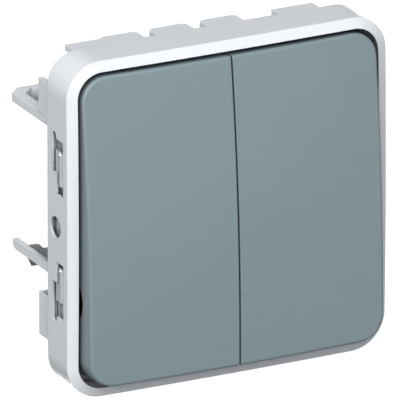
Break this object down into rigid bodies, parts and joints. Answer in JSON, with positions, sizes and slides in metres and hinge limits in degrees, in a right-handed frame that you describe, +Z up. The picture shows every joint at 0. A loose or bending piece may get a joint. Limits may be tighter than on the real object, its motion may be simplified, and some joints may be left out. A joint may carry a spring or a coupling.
{
  "type": "rocker wall switch",
  "caption": "Clip-in wall switch with a pair of tall rockers in a square rounded frame, steel side clips and arms that snap into a wall box.",
  "frame": {"origin": "centre of the plane of the front frame's rear rim, which seats on the wall box", "axes": "+X right as seen by the user, +Y back into the wall, +Z up"},
  "size_m": [0.066, 0.035, 0.066],
  "materials": {
    "frame_plastic": "smooth satin moulded plastic, pale cool grey",
    "rocker_plastic": "fine satin moulded plastic, blue-grey",
    "cradle_plastic": "matte moulded plastic",
    "chassis_plastic": "fine matte moulded plastic, light grey",
    "dark_plastic": "matte moulded plastic, dark grey",
    "housing_plastic": "matte moulded plastic",
    "button_plastic": "matte moulded plastic, orange",
    "membrane_rubber": "soft matte elastomer",
    "spring_steel": "bright rolled spring steel",
    "bright_steel": "zinc-plated steel",
    "contact_silver": "silver alloy",
    "brass": "stamped brass",
    "plunger_plastic": "low-friction white plastic"
  },
  "bodies": {
    "root": {"clamp_springs": "bright_steel", "fixed_rivets": "contact_silver", "front_frame": "frame_plastic", "gang_barrier": "housing_plastic", "housing_screws": "bright_steel", "left_common_terminal": "brass", "left_guide_arm": "chassis_plastic", "left_lower_fixed_contact": "brass", "left_lower_frame_clip": "spring_steel", "left_upper_fixed_contact": "brass", "left_upper_frame_clip": "spring_steel", "mechanism_housing": "housing_plastic", "rear_cover": "housing_plastic", "right_common_terminal": "brass", "right_guide_arm": "chassis_plastic", "right_lower_fixed_contact": "brass", "right_lower_frame_clip": "spring_steel", "right_upper_fixed_contact": "brass", "right_upper_frame_clip": "spring_steel", "sealing_membrane": "membrane_rubber", "support_chassis": "chassis_plastic"},
    "left_rocker": {"left_rocker_cap": "rocker_plastic", "left_rocker_cradle": "cradle_plastic", "left_pivot_pins": "bright_steel", "left_plunger": "plunger_plastic", "left_plunger_spring": "bright_steel"},
    "left_contact": {"left_moving_contact": "brass", "left_moving_rivets": "contact_silver"},
    "left_snap": {"left_snap_arm": "chassis_plastic", "left_snap_barb": "dark_plastic"},
    "left_upper_button": {"left_upper_release_button": "button_plastic"},
    "left_middle_button": {"left_middle_release_button": "button_plastic"},
    "left_lower_button": {"left_lower_release_button": "button_plastic"},
    "right_rocker": {"right_rocker_cap": "rocker_plastic", "right_rocker_cradle": "cradle_plastic", "right_pivot_pins": "bright_steel", "right_plunger": "plunger_plastic", "right_plunger_spring": "bright_steel"},
    "right_contact": {"right_moving_contact": "brass", "right_moving_rivets": "contact_silver"},
    "right_snap": {"right_snap_arm": "chassis_plastic", "right_snap_barb": "dark_plastic"},
    "right_upper_button": {"right_upper_release_button": "button_plastic"},
    "right_middle_button": {"right_middle_release_button": "button_plastic"},
    "right_lower_button": {"right_lower_release_button": "button_plastic"}
  },
  "joints": [
    {"name": "left_rocker_hinge", "type": "hinge", "parent": "root", "child": "left_rocker", "pos_m": [-0.0154, -0.0045, 0], "axis": [1, 0, 0], "range_deg": [0, 7]},
    {"name": "left_contact_hinge", "type": "hinge", "parent": "root", "child": "left_contact", "pos_m": [-0.011, 0.0102, 0], "axis": [1, 0, 0], "range_deg": [-16, 0]},
    {"name": "left_snap_flex", "type": "hinge", "parent": "root", "child": "left_snap", "pos_m": [-0.03127, 0.001, -0.0101], "axis": [0, 0, -1], "range_deg": [0, 5], "stiffness_Nm_per_rad": 0.05},
    {"name": "left_upper_release", "type": "slide", "parent": "root", "child": "left_upper_button", "axis": [0, -1, 0], "range_m": [0, 0.0009], "stiffness_N_per_m": 400, "springref_m": -0.0003},
    {"name": "left_middle_release", "type": "slide", "parent": "root", "child": "left_middle_button", "axis": [0, -1, 0], "range_m": [0, 0.0009], "stiffness_N_per_m": 400, "springref_m": -0.0003},
    {"name": "left_lower_release", "type": "slide", "parent": "root", "child": "left_lower_button", "axis": [0, -1, 0], "range_m": [0, 0.0009], "stiffness_N_per_m": 400, "springref_m": -0.0003},
    {"name": "right_rocker_hinge", "type": "hinge", "parent": "root", "child": "right_rocker", "pos_m": [0.0154, -0.0045, 0], "axis": [1, 0, 0], "range_deg": [0, 7]},
    {"name": "right_contact_hinge", "type": "hinge", "parent": "root", "child": "right_contact", "pos_m": [0.011, 0.0102, 0], "axis": [1, 0, 0], "range_deg": [-16, 0]},
    {"name": "right_snap_flex", "type": "hinge", "parent": "root", "child": "right_snap", "pos_m": [0.03127, 0.001, -0.0101], "axis": [0, 0, 1], "range_deg": [0, 5], "stiffness_Nm_per_rad": 0.05},
    {"name": "right_upper_release", "type": "slide", "parent": "root", "child": "right_upper_button", "axis": [0, -1, 0], "range_m": [0, 0.0009], "stiffness_N_per_m": 400, "springref_m": -0.0003},
    {"name": "right_middle_release", "type": "slide", "parent": "root", "child": "right_middle_button", "axis": [0, -1, 0], "range_m": [0, 0.0009], "stiffness_N_per_m": 400, "springref_m": -0.0003},
    {"name": "right_lower_release", "type": "slide", "parent": "root", "child": "right_lower_button", "axis": [0, -1, 0], "range_m": [0, 0.0009], "stiffness_N_per_m": 400, "springref_m": -0.0003}
  ],
  "couplings": [
    {"joint": "left_contact_hinge", "follows": "left_rocker_hinge", "ratio": -2.2857},
    {"joint": "right_contact_hinge", "follows": "right_rocker_hinge", "ratio": -2.2857}
  ]
}
